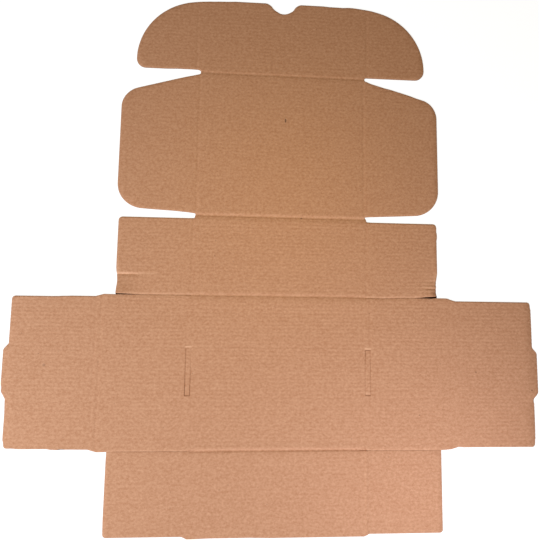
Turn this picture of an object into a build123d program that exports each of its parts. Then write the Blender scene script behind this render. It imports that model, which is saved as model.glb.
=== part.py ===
from build123d import *
import math
import os

# A die-cut mailer box, opened out flat: one sheet of corrugated board, lying on its outer
# face with the creased inner face up. X runs along the flutes, from one side wall to the
# other. Y runs from the front wall through the bottom, back and lid to the tuck flap.
# Z = 0 is the table. Lengths are in millimetres.

# Board
thickness = 1.6
liner = 0.25
medium = 0.2
flute_pitch = 3.4

# Panels between the creases that run along X, from the front edge to the tuck edge
front_height = 72.9
bottom_depth = 135.0
back_height = 73.0
lid_depth = 136.8
tuck_height = 73.1

# The bottom between its two side creases, and how far inside them the other panels fold.
# Each inset leaves room for the layers that fold in outside that panel.
bottom_width = 166.3
tuck_inset = 1.65
lid_inset = 5.15
back_inset = 3.15
front_inset = 3.75

# Side wall: outer wall, top strip between two creases, and the inner wall that rolls over
side_height = 75.05
roll_width = 4.7
inner_height = 73.0
inner_relief = 2.0
inner_corner = 3.0
step_run = 7.0

# Tab on the inner wall, and the slot in the bottom that takes it
tab_height = 4.3
tab_tip = 37.0
tab_flare = 5.0
tab_corner = 3.5
slot_clearance = 2.4
slot_width = 4.8
nick = 0.8

# Ears of the tuck flap
ear_length = 56.4
ear_relief = 1.75
ear_corner = 9.0
ear_radius = 59.0
ear_fall = 10.5
crown_radius = 220.0
crown_run = 68.1

# Thumb notch in the tuck edge
notch_depth = 10.4
notch_radius = 11.5
notch_shoulder = 8.0

# Wings of the lid
wing_length = 71.85
wing_top_relief = 1.4
wing_top_angle = 15.9
wing_top_radius = 18.5
wing_low_relief = 2.1
wing_low_angle = 2.9
wing_low_radius = 24.0

# Dust flaps of the back and the front
back_flap_length = 67.4
back_flap_relief = 2.85
back_flap_corner = 3.5
front_flap_length = 68.4
front_flap_relief = 2.1
front_flap_corner = 2.8
front_step_run = 4.5

# Cuts between neighbouring flaps
kerf = 0.5
neck_outset = 0.5
neck_radius = 1.5
neck_reach = 4.0

# Creases: a channel pressed into the inner face, over a band where the flutes are crushed
crease_width = 2.4
crease_floor = 0.8
crease_depth = 0.45
crush_half = 1.7

# Board left closed where a cut runs along the flutes
edge_land = 0.7
tuck_land = 3.0
ear_land = 5.0
wing_land = 4.0

# Crease lines
total_length = front_height + bottom_depth + back_height + lid_depth + tuck_height
y_front = -total_length / 2
y_bottom = y_front + front_height
y_back = y_bottom + bottom_depth
y_lid = y_back + back_height
y_tuck = y_lid + lid_depth
y_top = y_tuck + tuck_height
y_mid = (y_bottom + y_back) / 2
x_side = bottom_width / 2
x_tuck = x_side - tuck_inset
x_lid = x_side - lid_inset
x_back = x_side - back_inset
x_front = x_side - front_inset
x_roll = x_side + side_height
x_inner = x_roll + roll_width
x_end = x_inner + inner_height
x_tab = x_end + tab_height
x_ear = x_tuck + ear_length
x_wing = x_lid + wing_length
x_back_flap = x_back + back_flap_length
x_front_flap = x_front + front_flap_length


def rounded(corners):
    """A flat face through (x, y, radius) corners."""
    points = [(x, y) for x, y, r in corners]
    radii = [r for x, y, r in corners]
    return make_face(FilletPolyline(*points, radius=radii, close=True))


def both_sides(corners):
    """A flat face that is the same on both sides of the middle, from its right-hand corners."""
    return rounded(corners + [(-x, y, r) for x, y, r in reversed(corners)])


# Tuck flap with its ears
tuck = both_sides([
    (crown_run, y_top, crown_radius),
    (x_ear, y_top - ear_fall, ear_radius),
    (x_ear, y_tuck + ear_relief, ear_corner),
])

# Thumb notch: a round bite that runs out into the edge over two shoulders
bite_y = y_top - notch_depth + notch_radius
shoulder_y = y_top - notch_shoulder
reach = notch_radius + notch_shoulder
shoulder_x = math.sqrt(reach**2 - (bite_y - shoulder_y) ** 2)
joint_x = shoulder_x * notch_radius / reach
joint_y = bite_y + (shoulder_y - bite_y) * notch_radius / reach
mouth_y = y_top + notch_depth
notch = make_face([
    RadiusArc((-shoulder_x, y_top), (-joint_x, joint_y), notch_shoulder),
    ThreePointArc((-joint_x, joint_y), (0, y_top - notch_depth), (joint_x, joint_y)),
    RadiusArc((joint_x, joint_y), (shoulder_x, y_top), notch_shoulder),
    Polyline((shoulder_x, y_top), (shoulder_x, mouth_y), (-shoulder_x, mouth_y), (-shoulder_x, y_top)),
])

# Lid with its wings
top_fall = wing_length * math.tan(math.radians(wing_top_angle))
low_rise = wing_length * math.tan(math.radians(wing_low_angle))
lid = both_sides([
    (x_lid, y_tuck - wing_top_relief, 0),
    (x_wing, y_tuck - wing_top_relief - top_fall, wing_top_radius),
    (x_wing, y_lid + wing_low_relief + low_rise, wing_low_radius),
    (x_lid, y_lid + wing_low_relief, 0),
])

# Back with its dust flaps, cut free of the side walls by a kerf
y_shoulder = y_lid - back_flap_relief
back = both_sides([
    (x_back_flap, y_shoulder, back_flap_corner),
    (x_back_flap, y_back + kerf, 0),
])
back_hinge = Pos(0, y_back + kerf / 2) * Rectangle(2 * x_back, kerf)

# Bottom, side walls and inner walls
walls = both_sides([
    (x_roll - (step_run - roll_width) / 2, y_back, 0),
    (x_inner + (step_run - roll_width) / 2, y_back - inner_relief, 0),
    (x_end, y_back - inner_relief, inner_corner),
    (x_end, y_bottom + inner_relief, inner_corner),
    (x_inner + (step_run - roll_width) / 2, y_bottom + inner_relief, 0),
    (x_roll - (step_run - roll_width) / 2, y_bottom, 0),
])
tabs = both_sides([
    (x_end, y_mid + tab_tip / 2 + tab_flare, 0),
    (x_tab, y_mid + tab_tip / 2, tab_corner),
    (x_tab, y_mid - tab_tip / 2, tab_corner),
    (x_end, y_mid - tab_tip / 2 - tab_flare, 0),
])

# Front with its dust flaps, which stop short of its free edge
y_skirt = y_front + front_flap_relief
front = both_sides([
    (x_front_flap, y_bottom - kerf, 0),
    (x_front_flap, y_skirt, front_flap_corner),
    (x_front + front_step_run / 2, y_skirt, 0),
    (x_front - front_step_run / 2, y_front, 0),
])
front_hinge = Pos(0, y_bottom - kerf / 2) * Rectangle(2 * x_front, kerf)

# Necks that carry the tuck flap and the lid, with a rounded end to the gap beside each
neck_x = x_lid + neck_outset
necks = [Pos(0, y) * Rectangle(2 * neck_x, 2 * neck_reach) for y in (y_tuck, y_lid)]
panels = [tuck, lid, back, back_hinge, walls, tabs, front, front_hinge]
die_line = Sketch() + panels + necks - notch
neck_corners = [v for v in die_line.vertices() if abs(abs(v.X) - neck_x) < 0.01]
die_line = fillet(neck_corners, neck_radius)
sheet = extrude(die_line, thickness)

# Flutes: the medium zigzags between the liners, and each space beside it is a tunnel that
# runs along X, from the crushed band beside a crease out through the cut edge
half_pitch = flute_pitch / 2
slope = math.atan2(thickness - 2 * liner, half_pitch)
foot = half_pitch - medium / 2 / math.sin(slope)
peak = thickness - 2 * liner - medium / 2 / math.cos(slope)
x_out = x_tab + edge_land


def tunnels(x_from, x_to, y_from, y_to):
    """The tunnels of one panel, standing on the lower and the upper liner in turn."""
    first = math.ceil((y_from + foot - y_mid) / half_pitch)
    last = math.floor((y_to - foot - y_mid) / half_pitch)
    made = []
    for row in range(first, last + 1):
        y = y_mid + row * half_pitch
        base = thickness - liner if row % 2 else liner
        tip = base - peak if row % 2 else base + peak
        section = make_face(Polyline((y - foot, base), (y + foot, base), (y, tip), close=True))
        made.append(extrude(Plane.YZ.offset(x_from) * section, x_to - x_from, dir=(1, 0, 0)))
    return made


# The panels whose flutes a cut edge opens: the crease they start from and their reach in Y.
# No edge opens the flutes of the middle panels and the outer side walls, so these stay closed,
# apart from the strip of the tuck flap that the thumb notch bites into.
open_panels = [
    (x_tuck, y_tuck + ear_relief + edge_land, y_top - ear_land),
    (x_lid, y_lid + wing_low_relief + low_rise + edge_land, y_tuck - wing_land),
    (x_back, y_back + kerf + edge_land, y_shoulder - edge_land),
    (x_inner, y_bottom + inner_relief + edge_land, y_back - inner_relief - edge_land),
    (x_front, y_skirt + edge_land, y_bottom - kerf - edge_land),
]
x_strip = x_tuck - crush_half
flutes = tunnels(-x_strip, x_strip, y_top - notch_depth, y_top - tuck_land)
for x_crease, y_from, y_to in open_panels:
    x_start = x_crease + crush_half
    flutes += tunnels(x_start, x_out, y_from, y_to)
    flutes += tunnels(-x_out, -x_start, y_from, y_to)
sheet -= flutes

# Slots: cut through all round except at small nicks, which still hold the waste in place
slot_length = tab_tip + 2 * slot_clearance
slot_x = x_side + kerf / 2 - slot_width / 2
slot = Rectangle(slot_width, slot_length) - Rectangle(slot_width - 2 * kerf, slot_length - 2 * kerf)
slot -= [Pos(0, y) * Rectangle(slot_width, nick) for y in (-slot_length / 4, slot_length / 4)]
sheet -= [extrude(Pos(x, y_mid) * slot, thickness) for x in (-slot_x, slot_x)]


def channel(start, end):
    """A crease pressed into the inner face from one point to another."""
    run = Vector(*end) - Vector(*start)
    z_floor = -crease_depth
    section = make_face(Polyline(
        (-crease_width / 2, 0),
        (-crease_floor / 2, z_floor),
        (crease_floor / 2, z_floor),
        (crease_width / 2, 0),
        close=True,
    ))
    plane = Plane(origin=(*start, thickness), x_dir=(run.Y, -run.X, 0), z_dir=run)
    return extrude(plane * section, run.length)


creases = [
    channel((-neck_x - crease_width, y_tuck), (neck_x + crease_width, y_tuck)),
    channel((-neck_x - crease_width, y_lid), (neck_x + crease_width, y_lid)),
    channel((-x_back, y_back), (x_back, y_back)),
    channel((-x_front, y_bottom), (x_front, y_bottom)),
]
for side in (-1, 1):
    creases += [
        channel((side * x_tuck, y_tuck + ear_relief), (side * x_tuck, y_top)),
        channel((side * x_lid, y_lid), (side * x_lid, y_tuck)),
        channel((side * x_back, y_back + kerf), (side * x_back, y_lid)),
        channel((side * x_side, y_bottom), (side * x_side, y_mid - slot_length / 2)),
        channel((side * x_side, y_mid + slot_length / 2), (side * x_side, y_back)),
        channel((side * x_roll, y_bottom), (side * x_roll, y_back)),
        channel((side * x_inner, y_bottom), (side * x_inner, y_back)),
        channel((side * x_front, y_front), (side * x_front, y_bottom - kerf)),
    ]
sheet -= creases

os.makedirs("parts", exist_ok=True)
export_step(sheet, "parts/box_blank.step")
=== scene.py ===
import math
from bisect import bisect

import bpy
import numpy as np
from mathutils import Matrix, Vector


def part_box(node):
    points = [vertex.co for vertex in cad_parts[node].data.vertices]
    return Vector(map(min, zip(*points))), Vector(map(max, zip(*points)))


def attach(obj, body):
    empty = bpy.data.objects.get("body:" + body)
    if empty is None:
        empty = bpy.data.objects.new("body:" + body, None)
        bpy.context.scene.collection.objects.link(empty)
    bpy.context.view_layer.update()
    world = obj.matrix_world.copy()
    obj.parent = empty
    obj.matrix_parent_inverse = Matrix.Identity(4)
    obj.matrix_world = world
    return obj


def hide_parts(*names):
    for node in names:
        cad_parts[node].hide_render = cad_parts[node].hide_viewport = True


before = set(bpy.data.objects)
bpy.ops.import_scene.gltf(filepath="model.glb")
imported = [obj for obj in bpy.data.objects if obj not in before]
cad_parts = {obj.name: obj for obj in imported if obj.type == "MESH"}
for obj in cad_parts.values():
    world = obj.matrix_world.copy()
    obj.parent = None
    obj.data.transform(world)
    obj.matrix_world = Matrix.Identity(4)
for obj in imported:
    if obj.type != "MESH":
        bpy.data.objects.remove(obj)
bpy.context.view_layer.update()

# The visual model of a flattened mailer box: one mesh in place of the solid blank, with its two
# liners and the fluted medium between them, its pressed creases, soft cut edges and lifted
# corners. Lengths are in millimetres in the part's own frame until a mesh or a lamp is made.
MM = 0.001
blank_low, blank_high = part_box("box_blank")
thickness = (blank_high[2] - blank_low[2]) / MM

# Board
flute_pitch = 3.4
liner = 0.25
medium = 0.2
washboard = 0.045
edge_drop = 0.45
edge_width = 1.0
slot_drop = 0.1
slot_edge = 0.5
lip_drop = 0.6
lip_width = 1.5
front_lip_drop = 0.35

# Crease lines
y_tuck, y_lid, y_back, y_bottom = 172.3, 35.5, -37.5, -172.5
x_tuck, x_lid, x_back, x_side, x_front = 81.5, 78.0, 80.0, 83.15, 79.4
x_roll, x_inner = 158.2, 162.9
x_neck = 78.5
x_flap = 147.4
slot_half = 20.9
slot_width = 4.8
plug_depth = 0.3
kerf = 0.5
knife_gap = 0.1
slot_x = x_side + kerf / 2 - slot_width / 2
y_mid = (y_back + y_bottom) / 2
y_top = blank_high[1] / MM
y_edge = blank_low[1] / MM

# Creases: half the width of the groove, of its floor and of the dip beside it, then where the
# board rises again above and below the crease, and how far its flutes are crushed
groove_half = 1.75
groove_floor = 0.3
dip_half = 5.0
ridge_away = 3.0
ridge_half = 2.4
swell_away = 4.9
swell_near = 3.4
swell_far = 12.0
crush_half = 2.95
crush_below = 5.6
crush_fade = 1.5

# Mesh spacing
row_step = flute_pitch / 4
wave_step = flute_pitch / 8
column_step = 12.0
plain_step = 60.0
arc_step = 0.07
small_turn = 0.32


def smooth(t):
    """0 below 0 and 1 above 1, with a soft run between."""
    t = np.clip(t, 0.0, 1.0)
    return t * t * (3 - 2 * t)


# Outline of the blank, from the frame

def flat_loops(node):
    """The loops of the part's flat outer face, with the board on their left."""
    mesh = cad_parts[node].data
    edges = set()
    for face in mesh.polygons:
        corners = [mesh.vertices[i].co / MM for i in face.vertices]
        if max(c.z for c in corners) < 0.001:
            keys = [(round(c.x, 3), round(c.y, 3)) for c in corners]
            edges |= set(zip(keys[1:] + keys[:1], keys))
    following = {a: b for a, b in edges if (b, a) not in edges}
    loops = []
    while following:
        point = min(following)
        loop = []
        while point in following:
            loop.append(point)
            point = following.pop(point)
        loops.append(np.array(loop))
    return loops


def round_arcs(loop):
    """Adds points to a loop's arcs, which the frame draws as runs of equal chords."""
    run = np.roll(loop, -1, axis=0) - loop
    length = np.hypot(*run.T)
    heading = np.arctan2(run[:, 1], run[:, 0])
    turn = (heading - np.roll(heading, 1) + math.pi) % (2 * math.pi) - math.pi
    count = len(loop)
    points = []
    for i in range(count):
        points.append(loop[i])
        bends = []
        for other, corner in ((i - 1, i), ((i + 1) % count, (i + 1) % count)):
            alike = abs(length[other] - length[i]) < 0.01 * length[i]
            if alike and 0.01 < abs(turn[corner]) < small_turn:
                bends.append(turn[corner])
        if not bends:
            continue
        bend = min(bends, key=abs)
        radius = length[i] / 2 / math.sin(bend / 2)
        parts = math.ceil(abs(bend) / arc_step)
        for k in range(1, parts):
            swept = bend * k / parts
            reach = 2 * radius * math.sin(swept / 2)
            way = heading[i] - bend / 2 + swept / 2
            points.append(loop[i] + reach * np.array([math.cos(way), math.sin(way)]))
    return np.round(points, 3)


loops = [round_arcs(loop) for loop in flat_loops("box_blank")]
loops.sort(key=lambda loop: -np.ptp(loop[:, 0]))
rim_from = np.concatenate(loops)
rim_to = np.concatenate([np.roll(loop, -1, axis=0) for loop in loops])


def rim_distance(x, y, some_loops):
    """How far points are from the nearest cut edge."""
    near = np.empty(len(x))
    begin = np.concatenate(some_loops)
    run = np.concatenate([np.roll(loop, -1, axis=0) for loop in some_loops]) - begin
    square = (run**2).sum(1)
    for start in range(0, len(x), 2000):
        part = slice(start, start + 2000)
        away = np.stack([x[part], y[part]], 1)[:, None] - begin
        along = np.clip((away * run).sum(2) / square, 0, 1)
        gap = away - along[..., None] * run
        near[part] = np.sqrt((gap**2).sum(2).min(1))
    return near


def rim_drop(x, y):
    """How far the knife pressed the board down at its cut edges."""
    outside = edge_drop * (1 - smooth(rim_distance(x, y, loops[:1]) / edge_width))
    inside = slot_drop * (1 - smooth(rim_distance(x, y, loops[1:]) / slot_edge))
    drop = np.maximum(outside, inside)
    off_middle = np.abs(x)
    slits = (
        (y - y_back - kerf, x_back, lip_drop, 1 - smooth((off_middle - 128.0) / 12.0)),
        (y - y_bottom, x_front, front_lip_drop, off_middle < x_flap + 1.0),
    )
    for above, x_end, depth, share in slits:
        lip = depth * (1 - smooth(above / lip_width)) * share
        lip *= (above > -0.1) & (above < lip_width) & (off_middle > x_end)
        drop = np.maximum(drop, lip)
    return drop


# Creases as (x, y, x, y, groove depth, dip depth, height of the ridge above, height of the swell
# below): those along the flutes, then those across them, left and right. A depth below 0 is a
# ridge.
creases = [
    (-x_neck, y_tuck + 0.2, x_neck, y_tuck - 0.1, 0.27, 0.08, 0.06, 0.03),
    (-x_neck, y_lid + 0.3, x_neck, y_lid, 0.42, 0.28, 0.2, 0.16),
    (1.0 - x_back, y_back + 0.5, x_back - 1.0, y_back + 0.5, 0.46, 0.12, 0.08, 0.24),
    (1.3 - x_front, y_bottom - 0.1, x_front - 1.3, y_bottom + 0.6, 0.84, 0.24, 0.3, 0.06),
]
across_flutes = [
    (x_tuck, y_tuck + 1.75, y_top, 0.19, 0.20),
    (x_lid, y_lid, y_tuck, 0.24, 0.19),
    (x_back, y_back + 0.5, y_lid, 0.21, 0.12),
    (x_side, y_bottom, y_mid - slot_half, 0.08, 0.06),
    (x_side, y_mid + slot_half, y_back, 0.08, 0.12),
    (x_roll, y_bottom, y_back, 0.22, 0.05),
    (x_inner, y_bottom + 2.0, y_back - 2.0, 0.14, 0.03),
    (x_front, y_edge, y_bottom - 0.5, 0.04, -0.3),
]
for x_crease, y_from, y_to, depth_left, depth_right in across_flutes:
    creases.append((-x_crease, y_from, -x_crease, y_to, depth_left, 0.0, 0.0, 0.0))
    creases.append((x_crease, y_from, x_crease, y_to, depth_right, 0.0, 0.0, 0.0))


def line_distance(line, x, y):
    """How far points are from a straight line between two places."""
    start = np.array(line[:2])
    run = np.array(line[2:4]) - start
    away = np.stack([x, y], 1) - start
    along = np.clip(away @ run / (run @ run), 0, 1)
    return np.hypot(*(away - along[:, None] * run).T)


def groove(x, y):
    """How deep the creases are pressed at each point, and how far the flutes are crushed there."""
    depth = np.zeros(len(x))
    crush = np.zeros(len(x))
    for crease in creases:
        _, y_from, _, y_to, groove_depth, dip, ridge, swell = crease
        away = line_distance(crease, x, y)
        pressed = groove_depth * smooth((groove_half - away) / (groove_half - groove_floor))
        depth = np.where(np.abs(pressed) > np.abs(depth), pressed, depth)
        depth += dip * smooth(1 - away / dip_half)
        above = y > (y_from + y_to) / 2
        depth -= ridge * above * smooth(1 - np.abs(away - ridge_away) / ridge_half)
        off_swell = away - swell_away
        hump = smooth(1 - np.maximum(-off_swell / swell_near, off_swell / swell_far))
        depth -= swell * ~above * hump
        reach = np.where((swell > 0) & ~above, crush_below, crush_half)
        crush = np.maximum(crush, smooth((reach - away) / crush_fade))
    return depth, crush


# Corners of the back dust flaps that have lifted off the table: side, height, how far the edge
# draws back from the cut, reach in X and Y, and how far the side edge is pulled in
lifts = [(1, 3.4, 1.9, 24.0, 17.0, 1.5), (-1, 2.4, 0.7, 26.0, 16.0, 1.3)]

# How far a lifted point draws in towards the middle, for each millimetre of height and of X,
# and what is left of the board's thickness where it is pressed flat
lean = 0.0028
least_share = 0.2

# Where the real blank's outline strays from the plain die line: the middle of the place, its
# reach in X and Y, the lowest and highest Y that move, and the shift
strays = [
    (-236.0, -172.0, 14.0, 10.0, y_bottom, y_back, 0.9, 0.5),
    (-236.0, -155.0, 14.0, 26.0, y_bottom, y_back, 0.45, 0.0),
    (-108.0, 174.5, 42.0, 22.0, y_tuck, y_top, 0.0, 1.1),
    (-115.0, 162.0, 36.0, 16.0, y_lid, y_tuck, 0.0, 0.55),
    (-115.0, 41.0, 36.0, 16.0, y_lid, y_tuck, 0.0, 0.6),
    (-218.0, -41.0, 34.0, 16.0, y_bottom, y_back, 0.0, -0.6),
    (-170.0, -171.0, 30.0, 16.0, y_bottom, y_back, 0.0, -0.5),
    (-241.0, -122.0, 9.0, 6.0, y_bottom, y_back, 0.6, 0.4),
    (-192.5, -170.5, 6.0, 3.0, y_bottom, y_back, 0.0, -0.45),
    (-148.0, -205.0, 12.0, 44.0, y_edge, y_bottom, -0.43, 0.0),
    (239.0, -100.0, 16.0, 90.0, y_bottom, y_back, 0.6, 0.0),
    (236.0, -170.0, 10.0, 8.0, y_bottom, y_back, -0.4, 0.0),
    (239.0, -127.0, 8.0, 6.0, y_bottom, y_back, -0.4, 0.3),
    (236.0, -41.0, 8.0, 6.0, y_bottom, y_back, -0.5, 0.0),
    (150.0, -38.0, 9.0, 6.0, y_bottom, y_back, 0.0, 0.6),
    (160.0, -172.0, 9.0, 8.0, y_bottom, y_back, 0.0, 0.45),
    (-40.0, -245.0, 34.0, 12.0, y_edge, y_bottom, 0.0, 0.45),
    (-61.0, 245.0, 14.0, 12.0, y_tuck, y_top, 0.0, -0.5),
    (-91.0, 174.5, 18.0, 8.0, y_tuck, y_top, 0.0, 0.4),
    (76.0, 245.0, 16.0, 12.0, y_tuck, y_top, 0.0, 0.45),
    (51.0, 245.0, 12.0, 12.0, y_tuck, y_top, 0.0, -0.45),
    (-11.0, 242.0, 6.0, 6.0, y_tuck, y_top, -0.35, -0.35),
    (-8.0, 237.0, 5.0, 4.0, y_tuck, y_top, 0.3, 0.3),
    (11.5, 241.5, 6.0, 5.0, y_tuck, y_top, 0.4, -0.3),
    (140.0, 152.0, 18.0, 18.0, y_lid, y_tuck, -0.25, -0.4),
    (92.0, 168.0, 13.0, 12.0, y_lid, y_tuck, 0.0, -0.4),
    (79.0, 172.0, 5.0, 5.0, y_lid, y_top, 0.8, 0.0),
    (79.0, 35.0, 5.0, 6.0, y_back, y_tuck, 0.5, 0.2),
    (79.5, 33.2, 3.0, 3.5, y_back, y_tuck, 1.2, 0.0),
    (92.0, -37.4, 24.0, 5.0, y_bottom, y_lid, 0.0, -0.35),
    (122.0, -37.4, 24.0, 5.0, y_bottom, y_lid, 0.0, 0.3),
    (-115.0, -172.6, 66.0, 5.0, y_edge, y_back, 0.0, -0.35),
    (115.0, -172.6, 66.0, 5.0, y_edge, y_back, 0.0, -0.3),
    (-81.0, y_mid, 8.0, 60.0, y_bottom, y_back, 0.35, 0.0),
    (81.0, y_mid, 8.0, 60.0, y_bottom, y_back, 0.2, 0.0),
    (81.0, -126.0, 9.0, 5.0, y_bottom, y_back, 0.0, 0.6),
    (81.0, -84.3, 9.0, 5.0, y_bottom, y_back, 0.0, -0.8),
    (147.4, 21.0, 8.0, 4.0, y_back, y_lid, 0.45, 0.0),
    (-79.0, 33.3, 3.0, 2.5, y_back, y_tuck, -0.4, 0.1),
    (-78.5, 172.4, 4.0, 1.6, y_lid, y_top, 0.7, 0.0),
]

# Small raised places on the inner face: X, Y, half width, half length, height
bumps = [
    (-81.0, -82.7, 4.2, 1.2, 0.3),
    (81.2, -83.3, 4.2, 1.2, 0.3),
    (81.2, -123.6, 3.0, 1.2, 0.2),
]

# Painted highlights: lines along the creases, the slit lips, the slot ends and the flap wrinkles
# where the paper is painted paler as if lit, from (x, y) to (x, y), half width, strength
painted_highlight_lines = [
    (-x_neck, y_lid + 1.2, x_neck, y_lid + 0.9, 1.4, 0.10),
    (-x_back, y_back + 1.1, x_back, y_back + 1.1, 1.3, 0.04),
    (-x_front, y_bottom + 0.9, x_front, y_bottom + 1.5, 1.3, 0.22),
    (-136.0, y_back + 1.4, -x_back, y_back + 1.5, 1.1, 0.22),
    (x_back, y_back + 1.4, 130.0, y_back + 1.3, 1.1, 0.20),
    (-x_flap, y_bottom + 0.7, -x_front, y_bottom + 0.7, 1.2, 0.12),
    (x_front, y_bottom + 0.7, x_flap, y_bottom + 0.7, 1.2, 0.10),
    (-83.6, -83.2, -78.6, -83.2, 1.0, 0.75),
    (78.6, -83.0, 83.2, -83.0, 1.5, 0.75),
    (79.4, -123.9, 82.6, -123.9, 0.9, 0.4),
    (-149.0, -19.0, -136.0, -18.8, 1.4, 0.7),
    (-136.0, -18.8, -116.0, -18.6, 1.3, 0.3),
    (132.0, -26.9, 145.0, -26.8, 1.1, 0.45),
    (134.0, -30.1, 145.0, -30.1, 0.9, 0.2),
    (134.0, -23.9, 145.0, -23.9, 0.9, 0.2),
    (136.0, -20.6, 146.0, -20.6, 0.9, 0.15),
    (-145.8, -17.0, -145.8, -8.0, 2.6, 0.22),
    (145.8, -23.0, 145.8, -13.0, 2.0, 0.25),
]


def painted_highlight(x, y):
    """How strongly the painted highlight makes the paper paler at each point."""
    most = np.zeros(len(x))
    for line in painted_highlight_lines:
        away = line_distance(line, x, y)
        most = np.maximum(most, line[5] * smooth(1 - away / line[4]))
    return most


# Gaps that are left round the waste in the left and the right slot: Y values, and the gap there
# on the left and on the right, then the gaps at the lower and the upper end
slot_gaps = [
    (
        -1,
        (-112.0, -108.0, -101.0, -96.0),
        (0.22, 0.14, 0.15, 0.16),
        (0.22, 0.14, 0.06, 0.04),
        0.25,
        0.05,
    ),
    (
        1,
        (-98.0, -94.0, -92.0, -90.0),
        (0.07, 0.13, 0.17, 0.2),
        (0.1, 0.08, 0.02, 0.0),
        0.2,
        0.25,
    ),
]
# Painted shade beside the slot cuts: how far it reaches from the cut, and how dark it gets for each
# millimetre of gap
slot_shade_width = 0.55
slot_shade_per_gap = 2.0


def slot_painted_shade(x, y):
    """How dark the painted shade is beside the slot cuts, more so where they gape."""
    amount = np.zeros(len(x))
    for side, levels, left_gaps, right_gaps, low_gap, high_gap in slot_gaps:
        away = x - side * slot_x
        gap = np.where(away < 0, np.interp(y, levels, left_gaps), np.interp(y, levels, right_gaps))
        gap = np.where(y > y_mid + slot_half - 1.2, high_gap, gap)
        gap = np.where(y < y_mid - slot_half + 1.2, low_gap, gap)
        amount += slot_shade_per_gap * gap * (np.abs(away) < slot_width)
    return amount * smooth(1 - rim_distance(x, y, loops[1:]) / slot_shade_width)


def strayed(x, y):
    """How far points move because the real outline strays."""
    shift_x = np.zeros(len(x))
    shift_y = np.zeros(len(x))
    for mid_x, mid_y, reach_x, reach_y, lowest, highest, dx, dy in strays:
        share = smooth(2 - 2 * np.abs(x - mid_x) / reach_x)
        share *= smooth(2 - 2 * np.abs(y - mid_y) / reach_y)
        share *= (y > lowest - 0.01) & (y < highest + 0.01)
        shift_x += share * dx
        shift_y += share * dy
    return np.stack([shift_x, shift_y], 1)


def in_plug(x, y, side):
    """Which points lie on the waste in a slot."""
    across = np.abs(x - side * slot_x) < slot_width / 2 - kerf + 0.01
    return across & (np.abs(y - y_mid) < slot_half - kerf + 0.01)


def closed_cuts(x, y):
    """Nearly closes the knife cuts, which the solid part draws wide enough to model."""
    shut = kerf - knife_gap
    behind = smooth((y_back + kerf + 2.5 - y) / 2.5) * (y > y_back + kerf / 2)
    before = smooth((y - y_bottom + kerf + 2.5) / 2.5) * (y < y_bottom - kerf / 2)
    behind *= smooth((np.abs(x) - x_back + 1.0) / 1.1)
    before *= smooth((np.abs(x) - x_front + 1.0) / 1.1)
    moved_y = y - shut * behind + shut * before
    moved_x = x.copy()
    half = slot_width / 2 - kerf
    for side, levels, left_gaps, right_gaps, low_gap, high_gap in slot_gaps:
        off_plug = (x - side * slot_x) / half
        plug = in_plug(x, y, side)
        to_left = kerf - np.interp(y, levels, left_gaps)
        to_right = kerf - np.interp(y, levels, right_gaps)
        moved_x += plug * ((off_plug + 1) / 2 * to_right + (off_plug - 1) / 2 * to_left)
        to_end = np.where(y > y_mid, kerf - high_gap, low_gap - kerf)
        moved_y += plug * to_end * smooth((np.abs(y - y_mid) - slot_half + 4.0) / 3.5)
    return moved_x, moved_y


def lifted(x, y, z):
    """Moves the points of the lifted corners, and of the edge that is crushed beside one."""
    x, y, z = x.copy(), y.copy(), z.copy()
    least = least_share * z
    on_flap = y > y_back + knife_gap / 2
    for side, height, retreat, reach_x, reach_y, pull in lifts:
        across = smooth((side * x - x_flap + reach_x) / reach_x)
        down = smooth((y_back + reach_y - y) / reach_y)
        pinch = smooth((side * x - 124.0) / 23.0) * smooth(1 - np.abs(y - y_back - 13.0) / 12.0)
        near_cut = smooth((y_back + 4.0 - y) / 4.0)
        z += on_flap * height * across * down
        y += on_flap * retreat * across * near_cut
        x -= on_flap * side * (pull * pinch + lean * height * np.abs(x) * across * down)
    strength = 0.4 + smooth(1 - np.abs(y - y_back - 9.0) / 2.2)
    creased = smooth((x - 128.0) / 14.0) * smooth((y_back + 21.0 - y) / 8.0) * strength * on_flap
    curl = smooth((x - 141.0) / 5.5) * smooth((y_back + 11.0 - y) / 6.0) * on_flap
    off_fold = y - y_back - 18.3
    fold = smooth(1 - np.maximum(off_fold / 1.5, -off_fold / 2.4)) * on_flap
    fold *= smooth((-x - 120.0) / 14.0)
    z -= 0.22 * (1 - flute_wave(y)) * creased + 2.8 * curl + 1.0 * fold
    beside = smooth((x + 156.0) / 5.0) * smooth((-120.0 - x) / 10.0)
    beside *= smooth((y - y_back + 3.0) / 2.5)
    y -= 0.1 * beside * ~on_flap
    return x, y, np.maximum(z, least)


# Faces of the board's layers, as heights over the table

def flute_wave(y):
    """1 on the line where the medium is glued to the inner liner, and -1 between two lines."""
    return np.cos(2 * math.pi * (y - y_mid) / flute_pitch)


def plug_drop(x, y):
    """How far the waste was pressed down: at the left slot's lower end, the right one's ends."""
    left = smooth((y_mid + 6.0 - y) / 22.0) * in_plug(x, y, -1)
    right = smooth((np.abs(y - y_mid) - 10.0) / 10.0) * in_plug(x, y, 1)
    return plug_depth * left + plug_depth * right


# The lines between the panels, from the front to the tuck flap, and how strongly the flutes show
# in each panel
panel_lines = [y_bottom, y_back, y_lid, y_tuck]
panel_sag = np.array([1.7, 1.85, 1.5, 0.7, 0.85])


def inner_face(x, y):
    """The side that faces up, with all its creases and pressed edges."""
    depth, crush = groove(x, y)
    sag = washboard * panel_sag[np.searchsorted(panel_lines, y)] * (1 - flute_wave(y) * (1 - crush))
    rise = np.zeros(len(x))
    for mid_x, mid_y, half_x, half_y, height in bumps:
        across = smooth(1 - np.abs(x - mid_x) / half_x)
        rise += height * across * smooth(1 - np.abs(y - mid_y) / half_y)
    return thickness - depth - sag - rim_drop(x, y) - plug_drop(x, y) + rise


def inner_back(x, y):
    return inner_face(x, y) - liner


def outer_face(x, y):
    return np.zeros(len(x))


def outer_back(x, y):
    return np.full(len(x), liner)


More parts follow.
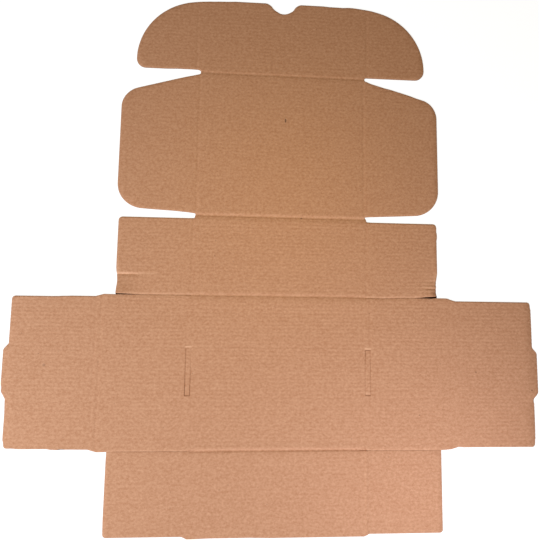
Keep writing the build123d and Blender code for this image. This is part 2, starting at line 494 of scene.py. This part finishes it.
def wave_side(sign):
    """The upper (1) or lower (-1) side of the fluted medium."""
    def height(x, y):
        depth, crush = groove(x, y)
        room = np.maximum(thickness - depth - rim_drop(x, y) - 2 * liner, 0.0)
        swing = np.maximum(room - medium, 0.0) / 2 * (1 - crush)
        slope = 2 * math.pi * swing / flute_pitch
        flat = 1 - flute_wave(y) ** 2
        half = np.minimum(medium / 2 * np.sqrt(1 + slope**2 * flat), room / 2)
        return liner + room / 2 + swing * flute_wave(y) + sign * half
    return height


# Rows and columns of the mesh

def crossings(y, above):
    """Where the outline crosses a row, just above or below it: x and the slope dx/dy there."""
    level = y + (1e-4 if above else -1e-4)
    low = np.minimum(rim_from[:, 1], rim_to[:, 1])
    high = np.maximum(rim_from[:, 1], rim_to[:, 1])
    hit = (low < level) & (high > level)
    run = rim_to[hit] - rim_from[hit]
    slope = run[:, 0] / run[:, 1]
    x = rim_from[hit][:, 0] + (level - rim_from[hit][:, 1]) * slope
    order = np.argsort(x)
    return list(zip(x[order], slope[order]))


def merged(wanted, taken, gap):
    """Adds to the taken values those that stay a gap away from them."""
    kept = sorted(taken)
    for value in sorted(wanted):
        place = bisect(kept, value)
        if all(abs(value - other) >= gap for other in kept[max(place - 1, 0):place + 1]):
            kept.insert(place, value)
    return kept


def row_heights(step):
    """The rows' Y values, and which of them hold a corner or a level stretch of the outline."""
    corners = set()
    curved = set()
    for loop in loops:
        ahead = np.roll(loop, -1, axis=0) - loop
        behind = loop - np.roll(loop, 1, axis=0)
        heading = np.arctan2(ahead[:, 1], ahead[:, 0]) - np.arctan2(behind[:, 1], behind[:, 0])
        turn = np.abs((heading + math.pi) % (2 * math.pi) - math.pi)
        rise = np.where(np.abs(ahead[:, 1]) < 0.002, 0, ahead[:, 1])
        fall = np.where(np.abs(behind[:, 1]) < 0.002, 0, behind[:, 1])
        key = (rise * fall <= 0) | (turn > small_turn)
        corners |= set(loop[key, 1])
        curved |= set(loop[~key, 1])
    fixed = merged(corners, [], 0.004)
    near = {y for y in curved if min(abs(y - c) for c in fixed) < 1.0}
    rows = merged(near, fixed, 0.12)
    level = {(crease[1] + crease[3]) / 2 for crease in creases if crease[5]}
    offsets = (0, 0.4, 0.8, 1.2, 1.7, 2.3)
    rows = merged({y + s * o for y in level for o in offsets for s in (-1, 1)}, rows, 0.15)
    count = int((y_top - y_edge) / step)
    even = {y_mid + k * step for k in range(-count, count) if y_edge < y_mid + k * step < y_top}
    return merged(even, rows, 0.4 * step), set(fixed)


# Places that need closer columns: x from, x to, y from, y to, spacing. The first ones are where
# the board is lifted or moved, so every layer of it takes them. The rest are the slots' ends.
patches = [(side * 131.0 - 18, side * 131.0 + 18, y_back, y_back + 30, 3.0) for side in (-1, 1)]
patches.append((-165.0, -107.0, y_back - 4.0, y_back, 6.0))
deep_patches = len(patches)
for side in (-1, 1):
    for y_from in (y_mid - slot_half - 3.0, y_mid + slot_half - 4.0):
        patches.append((side * 81.0 - 8, side * 81.0 + 8, y_from, y_from + 7.0, 1.2))


def column_places(y, step, closer):
    """The X values of the columns that cross a row."""
    places = []
    if closer:
        for x0, y0, x1, y1 in (crease[:4] for crease in creases):
            if x0 == x1 and y0 - 3 < y < y1 + 3:
                offsets = (-2.6, -1.75, -1.0, -0.3, 0.3, 1.0, 1.75, 2.6)
                places = merged([x0 + offset for offset in offsets], places, 0.2)
    for x_from, x_to, y_from, y_to, spacing in patches[:None if closer else deep_patches]:
        if y_from <= y <= y_to:
            places = merged(np.arange(x_from, x_to, spacing), places, 0.5)
    for mid_x, mid_y, reach_x, reach_y, lowest, highest, _, shift_y in strays:
        near = abs(y - mid_y) < min(reach_y, 4.5) and lowest - 0.01 < y < highest + 0.01
        if near and shift_y:
            shares = (-1, -0.75, -0.5, 0.5, 0.75, 1)
            places = merged([mid_x + share * reach_x for share in shares], places, 0.7)
    count = int(blank_high[0] / MM / step) + 1
    even = [k * step for k in range(-count, count + 1)]
    return merged(even, places, 0.45 * step if closer else 0.2)


def row_points(y, columns, rings):
    """The X values of a row's points inside the outline, with its limits kept exactly."""
    limits = []
    softer = []
    inside = []
    for above in (False, True):
        edges = crossings(y, above)
        for left, right in zip(edges[::2], edges[1::2]):
            width = right[0] - left[0]
            limits += [left[0], right[0]]
            inside.append((left[0], right[0]))
            for limit, slope, way in ((left[0], left[1], 1), (right[0], right[1], -1)):
                for ring in rings:
                    softer.append(limit + way * min(ring * math.hypot(1, slope), 0.45 * width))
    points = merged(limits, [], 0.002)
    points = merged(softer, points, 0.1)
    points = merged(columns, points, 0.3)
    return [x for x in points if any(a - 0.002 <= x <= b + 0.002 for a, b in inside)]


def zipped(low, high, x):
    """Faces between two rows of points, given as indices in order of X."""
    faces = []
    a = b = 0
    while a < len(low) - 1 or b < len(high) - 1:
        next_low = x[low[a + 1]] if a + 1 < len(low) else math.inf
        next_high = x[high[b + 1]] if b + 1 < len(high) else math.inf
        last = a + 2 == len(low) and b + 2 == len(high)
        if last or abs(next_low - next_high) < 0.35:
            faces.append((low[a], low[a + 1], high[b + 1], high[b]))
            a += 1
            b += 1
        elif next_low < next_high:
            faces.append((low[a], low[a + 1], high[b]))
            a += 1
        else:
            faces.append((low[a], high[b + 1], high[b]))
            b += 1
    return faces


def flat_mesh(rows, fixed, closer):
    """Points and faces over the whole blank, with more points in fixed rows, or in all of them."""
    points = []
    index = []
    for y in rows:
        plenty = closer or y in fixed
        columns = column_places(y, column_step if plenty else plain_step, plenty)
        rings = (0.35, 1.0) if plenty else ()
        row = row_points(y, columns, rings)
        index.append(list(range(len(points), len(points) + len(row))))
        points += [(x, y) for x in row]
    points = np.array(points)
    x = points[:, 0]
    faces = []
    for i in range(len(rows) - 1):
        below = [c[0] for c in crossings(rows[i], True)]
        above = [c[0] for c in crossings(rows[i + 1], False)]
        for k in range(0, len(below), 2):
            low = [n for n in index[i] if below[k] - 0.003 <= x[n] <= below[k + 1] + 0.003]
            high = [n for n in index[i + 1] if above[k] - 0.003 <= x[n] <= above[k + 1] + 0.003]
            faces += zipped(low, high, x)
    return points, faces


def shell(rows, fixed, upper, lower, closer):
    """One closed layer of the board: its upper and lower sides and the cut edge between them."""
    top, top_faces = flat_mesh(rows, fixed, closer)
    base, base_faces = flat_mesh(rows, fixed, False)
    shift = len(top)
    heights = [upper(*top.T), lower(*base.T)]
    corners = np.concatenate([top, base])
    verts = np.stack(lifted(*closed_cuts(*corners.T), np.concatenate(heights)), 1)
    verts[:, :2] += strayed(*corners.T)
    twin = {(round(x, 2), round(y, 3)): shift + n for n, (x, y) in enumerate(base)}
    used = set()
    for face in top_faces:
        used |= set(zip(face, face[1:] + face[:1]))
    rim = [(a, b) for a, b in used if (b, a) not in used]
    partner = {n: twin[round(top[n][0], 2), round(top[n][1], 3)] for edge in rim for n in edge}
    walls = [tuple(dict.fromkeys((b, a, partner[a], partner[b]))) for a, b in sorted(rim)]
    faces = top_faces + [tuple(n + shift for n in reversed(face)) for face in base_faces]
    # The last two values are the painted highlight and the painted slot shade of the top points
    return verts, faces, walls, shift, painted_highlight(*top.T), slot_painted_shade(*top.T)


def board_mesh():
    """The whole board: inner liner, fluted medium and outer liner as closed shells of one mesh."""
    rows, fixed = row_heights(row_step)
    wave_rows, wave_fixed = row_heights(wave_step)
    layers = [
        shell(rows, fixed, inner_face, inner_back, True),
        shell(rows, fixed, outer_back, outer_face, False),
        shell(wave_rows, wave_fixed, wave_side(1), wave_side(-1), False),
    ]
    verts = []
    faces = []
    cut = []
    highlight_paint = np.zeros(sum(len(layer[0]) for layer in layers))
    slot_shade_paint = highlight_paint.copy()
    # Painted highlights, for the inner liner's top face only
    highlight_paint[:layers[0][3]] = layers[0][4]
    # Painted shade beside the slot cuts, for the inner liner's top face only
    slot_shade_paint[:layers[0][3]] = layers[0][5]
    for layer_verts, layer_faces, walls, _, _, _ in layers:
        shift = len(verts)
        verts += [tuple(v * MM) for v in layer_verts]
        faces += [tuple(n + shift for n in face) for face in layer_faces + walls]
        cut += [False] * len(layer_faces) + [True] * len(walls)
    mesh = bpy.data.meshes.new("box_blank_board")
    mesh.from_pydata(verts, [], faces)
    mesh.polygons.foreach_set("use_smooth", [True] * len(faces))
    mesh.polygons.foreach_set("material_index", [int(c) for c in cut])
    mesh.set_sharp_from_angle(angle=math.radians(40))
    mesh.attributes.new("highlight_paint", "FLOAT", "POINT").data.foreach_set("value", highlight_paint)
    mesh.attributes.new("slot_shade_paint", "FLOAT", "POINT").data.foreach_set("value", slot_shade_paint)
    return mesh


class Tree:
    """Short calls for building a material's nodes."""

    def __init__(self, name):
        self.material = bpy.data.materials.new(name)
        self.material.use_nodes = True
        self.tree = self.material.node_tree
        self.shader = self.tree.nodes["Principled BSDF"]

    def put(self, socket, value):
        if isinstance(value, bpy.types.NodeSocket):
            self.tree.links.new(value, socket)
        else:
            socket.default_value = value

    def node(self, kind, inputs, **settings):
        made = self.tree.nodes.new(kind)
        for key, value in settings.items():
            setattr(made, key, value)
        for key, value in inputs.items():
            self.put(made.inputs[key], value)
        return made

    def math(self, operation, *values):
        inputs = {i: value for i, value in enumerate(values)}
        return self.node("ShaderNodeMath", inputs, operation=operation).outputs[0]

    def vector(self, operation, *values):
        inputs = {i: value for i, value in enumerate(values)}
        return self.node("ShaderNodeVectorMath", inputs, operation=operation)

    def spread(self, where, per_mm, stretch=(1, 1, 1), detail=2.0, rough=0.5):
        """Noise around 0, with its grain per millimetre and its stretch along each axis."""
        scale = [per_mm / MM / s for s in stretch]
        mapped = self.node("ShaderNodeMapping", {"Vector": where, "Scale": scale}).outputs[0]
        inputs = {"Vector": mapped, "Scale": 1.0, "Detail": detail, "Roughness": rough}
        noise = self.node("ShaderNodeTexNoise", inputs).outputs["Fac"]
        return self.math("SUBTRACT", noise, 0.5)

    def tint(self, low, high, amount):
        """A colour between low and high."""
        mixed = self.node("ShaderNodeMix", {0: amount}, data_type="RGBA")
        self.put(mixed.inputs[6], (*low, 1))
        self.put(mixed.inputs[7], (*high, 1))
        return mixed.outputs[2]

    def blend(self, under, over, amount):
        """A colour laid over another one."""
        mixed = self.node("ShaderNodeMix", {0: amount}, data_type="RGBA")
        self.put(mixed.inputs[6], under)
        self.put(mixed.inputs[7], (*over, 1))
        return mixed.outputs[2]


# Dark specks that stand out in the paper, and last a dark streak along the left wall's lower cut
# edge: X, Y, half width, half length, strength
spots = [
    (3.2, 128.2, 0.8, 1.9, 0.75),
    (19.1, 35.1, 0.9, 0.6, 0.6),
    (234.6, -120.0, 0.7, 0.7, 0.6),
    (-204.8, -99.8, 1.3, 1.3, 0.3),
    (181.9, -104.0, 0.6, 0.8, 0.5),
    (128.3, -142.3, 0.6, 0.6, 0.5),
    # a dark streak along the left wall's lower cut edge
    (-186.4, -171.0, 3.2, 0.6, 0.75),
]
spot_shade = 0.22

# How far the paper's red, green and blue swing between its darkest and palest fibres, and what is
# left of them in the painted shade beside the slot cuts
paper_swing = (0.30, 0.44, 0.57)
slot_shade_colour = (0.62, 0.4, 0.2)


def kraft(name, colour, contrast):
    """Brown paper: fine fibre, soft clouds, streaks along the flutes and a few dark specks, with
    painted highlights and painted shade beside the slots laid over it.
    """
    tree = Tree(name)
    where = tree.node("ShaderNodeTexCoord", {}).outputs["Object"]
    fibre = tree.spread(where, 1.35, (1.4, 1.0, 1.0), 3.0, 0.7)
    grain = tree.spread(where, 0.5, (1.2, 1.0, 1.0), 1.0, 0.5)
    cloud = tree.spread(where, 0.022, (1.0, 1.0, 1.0), 2.0, 0.5)
    streak = tree.spread(where, 0.3, (14.0, 1.0, 1.0), 1.0, 0.5)
    total = tree.math("MULTIPLY", fibre, 0.76 * contrast)
    for part, weight in ((grain, 0.62), (cloud, 0.05), (streak, 0.06)):
        total = tree.math("MULTIPLY_ADD", part, weight * contrast, total)
    amount = tree.math("ADD", total, 0.5)
    dark = [(1 - s) * c for s, c in zip(paper_swing, colour)]
    light = [(1 + s) * c for s, c in zip(paper_swing, colour)]
    flecks = tree.node("ShaderNodeTexVoronoi", {"Vector": where, "Scale": 120.0}, feature="F1")
    chance = tree.node("ShaderNodeSeparateColor", {0: flecks.outputs["Color"]}).outputs[0]
    rare = tree.math("GREATER_THAN", chance, 0.8)
    small = tree.math("LESS_THAN", flecks.outputs["Distance"], 0.055)
    speck = tree.math("MULTIPLY", tree.math("MULTIPLY", rare, small), 0.4)
    for spot_x, spot_y, half_x, half_y, share in spots:
        off = tree.vector("SUBTRACT", where, (spot_x * MM, spot_y * MM, 0)).outputs[0]
        off = tree.vector("MULTIPLY", off, (1 / half_x / MM, 1 / half_y / MM, 0)).outputs[0]
        away = tree.vector("LENGTH", off).outputs["Value"]
        mark = tree.math("MULTIPLY", tree.math("LESS_THAN", away, 1.0), share)
        speck = tree.math("MAXIMUM", speck, mark)
    paper = tree.tint(dark, light, amount)
    # Painted highlight: the paper is made paler along the creases, lips, slot ends and wrinkles as
    # if they caught the light
    highlight_paint = tree.node("ShaderNodeAttribute", {}, attribute_name="highlight_paint").outputs["Fac"]
    highlight_colour = [(1 + 2 * s) * c for s, c in zip(paper_swing, colour)]
    paper = tree.blend(paper, highlight_colour, highlight_paint)
    # Painted shade: the paper is made darker beside the slot cuts, more where they gape
    slot_shade_paint = tree.node("ShaderNodeAttribute", {}, attribute_name="slot_shade_paint").outputs["Fac"]
    paper = tree.blend(paper, [s * c for s, c in zip(slot_shade_colour, colour)], slot_shade_paint)
    paper = tree.blend(paper, [spot_shade * c for c in colour], speck)
    tree.put(tree.shader.inputs["Base Color"], paper)
    tree.shader.inputs["Roughness"].default_value = 0.85
    tree.shader.inputs["Specular IOR Level"].default_value = 0.25
    height = tree.math("ADD", fibre, grain)
    bump = tree.node("ShaderNodeBump", {"Height": height, "Strength": 0.5, "Distance": 0.00006})
    tree.put(tree.shader.inputs["Normal"], bump.outputs[0])
    return tree.material


board = bpy.data.objects.new("box_blank_board", board_mesh())
bpy.context.scene.collection.objects.link(board)
board.data.materials.append(kraft("kraft_liner", (0.5, 0.248, 0.135), 1.15))
board.data.materials.append(kraft("cut_edge", (0.42, 0.21, 0.115), 1.0))
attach(board, "root")
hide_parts("box_blank")


# Floor: white to the camera, plain to the light. It keeps the blank's shadow. Its glow fades where
# ambient occlusion is low, which paints shade into the narrow gaps where the camera sees down past
# two cut edges. Along the back flaps' slit the glow is off, and there and round the slots the floor
# is painted near black as painted shade.
def floor():
    """A wide plane just under the blank."""
    bpy.ops.mesh.primitive_plane_add(size=6.0, location=(0, 0, -0.00005))
    plane = bpy.context.object
    plane.name = "floor"
    tree = Tree("white_floor")
    where = tree.node("ShaderNodeTexCoord", {}).outputs["Object"]
    place = tree.node("ShaderNodeSeparateXYZ", {"Vector": where})

    def within(axis, middle, half):
        off = tree.math("ABSOLUTE", tree.math("SUBTRACT", place.outputs[axis], middle * MM))
        return tree.math("LESS_THAN", off, half * MM)

    in_gap = tree.math("MULTIPLY", within("X", 0.0, x_flap - 0.4), within("Y", y_back + 1.2, 1.8))
    at_slots = tree.math("MULTIPLY", within("X", 0.0, 90.0), within("Y", y_mid, 25.0))
    painted_shade_zone = tree.math("MAXIMUM", in_gap, at_slots)
    # Painted shade: the glow fades where ambient occlusion is low, so narrow gaps look dark
    open_sky = tree.node("ShaderNodeAmbientOcclusion", {"Distance": 0.004}, samples=16).outputs["AO"]
    inputs = {"Value": open_sky, "From Min": 0.22, "From Max": 0.45, "To Min": 0.0, "To Max": 0.855}
    glow = tree.node("ShaderNodeMapRange", inputs).outputs["Result"]
    seen = tree.node("ShaderNodeLightPath", {}).outputs["Is Camera Ray"]
    open_floor = tree.math("MULTIPLY", seen, tree.math("SUBTRACT", 1.0, in_gap))
    tree.put(tree.shader.inputs["Emission Strength"], tree.math("MULTIPLY", open_floor, glow))
    tree.shader.inputs["Emission Color"].default_value = (1, 1, 1, 1)
    # Painted shade: the floor colour is near black in the flap gap and round the slots
    shade = tree.tint((0.3, 0.3, 0.3), (0.02, 0.006, 0.002), painted_shade_zone)
    tree.put(tree.shader.inputs["Base Color"], shade)
    tree.shader.inputs["Roughness"].default_value = 1.0
    tree.shader.inputs["Specular IOR Level"].default_value = 0.0
    plane.data.materials.append(tree.material)


floor()


def lamp(name, place, size, power, colour):
    """A round lamp that faces the middle of the blank."""
    light = bpy.data.lights.new(name, "AREA")
    light.shape = "DISK"
    light.size = size * MM
    light.energy = power
    light.color = colour
    holder = bpy.data.objects.new(name, light)
    holder.visible_camera = False
    holder.location = Vector(place) * MM
    holder.rotation_euler = (-Vector(place)).to_track_quat("-Z", "Y").to_euler()
    bpy.context.scene.collection.objects.link(holder)


lamp("key", (-504, -350, 539), 600, 7.6, (0.767, 0.853, 1.0))
lamp("fill", (171, -248, 198), 200, 0.54, (0.76, 0.80, 1.0))
lamp("top", (3, 52, 178), 150, 0.057, (1.0, 0.79, 0.03))

world = bpy.data.worlds.new("surroundings")
bpy.context.scene.world = world
world.use_nodes = True
backdrop = world.node_tree.nodes["Background"]
backdrop.inputs["Color"].default_value = (1, 1, 1, 1)
ambient = world.node_tree.nodes.new("ShaderNodeBackground")
ambient.inputs["Color"].default_value = (0.227, 0.171, 0.059, 1)
path = world.node_tree.nodes.new("ShaderNodeLightPath")
choice = world.node_tree.nodes.new("ShaderNodeMixShader")
world.node_tree.links.new(path.outputs["Is Camera Ray"], choice.inputs[0])
world.node_tree.links.new(ambient.outputs[0], choice.inputs[1])
world.node_tree.links.new(backdrop.outputs[0], choice.inputs[2])
world.node_tree.links.new(choice.outputs[0], world.node_tree.nodes["World Output"].inputs["Surface"])

# Camera: nearly straight above the blank, where the photograph was taken from
image_width, image_height = 539, 540
sensor = 36.0
focal_px = 500.72
centre_x, centre_y = 277.34, 245.08
eye = (-33.04, -41.19, 456.85 + thickness)
tilt = [math.radians(a) for a in (6.267, -3.873, 0.841)]
camera_data = bpy.data.cameras.new("camera")
camera_data.sensor_width = sensor
camera_data.lens = focal_px / image_height * sensor
camera_data.shift_x = -(centre_x - image_width / 2) / image_height
camera_data.shift_y = (centre_y - image_height / 2) / image_height
camera_data.clip_start = 0.01
camera = bpy.data.objects.new("camera", camera_data)
camera.location = Vector(eye) * MM
camera.rotation_euler = tilt
bpy.context.scene.collection.objects.link(camera)
bpy.context.scene.camera = camera
bpy.context.scene.view_settings.view_transform = "Standard"

bpy.context.view_layer.update()
